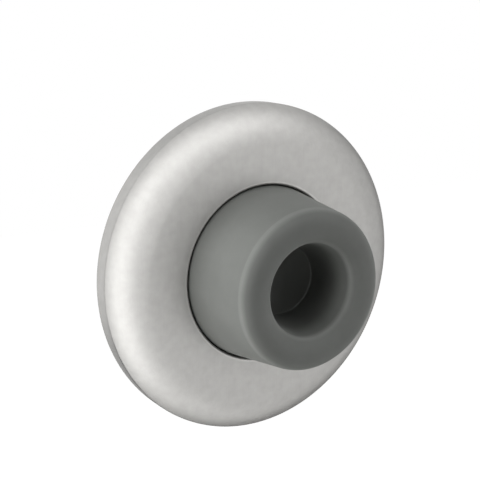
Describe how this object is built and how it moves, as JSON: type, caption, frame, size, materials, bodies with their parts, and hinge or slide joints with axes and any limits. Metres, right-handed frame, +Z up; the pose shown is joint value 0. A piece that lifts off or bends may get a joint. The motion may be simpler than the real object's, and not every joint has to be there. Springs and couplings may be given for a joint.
{
  "type": "wall door stop",
  "caption": "Round wall door stop: a pressed satin steel rose with a tapered grey rubber bumper, its nose dished and recessed to clear the button of a door knob.",
  "frame": {"origin": "middle of the back, on the wall plane, at the back end of the screw hole", "axes": "+Y into the wall along the axis of the stop, so the bumper stands out towards -Y; +Z up; +X to the right seen from the front"},
  "size_m": [0.062, 0.0227, 0.062],
  "materials": {
    "rose": "satin stainless",
    "bumper": "matt moulded",
    "mounting_plate": "zinc plated"
  },
  "bodies": {
    "root": {"rose": "rose", "bumper": "bumper", "mounting_plate": "mounting_plate"}
  },
  "joints": []
}
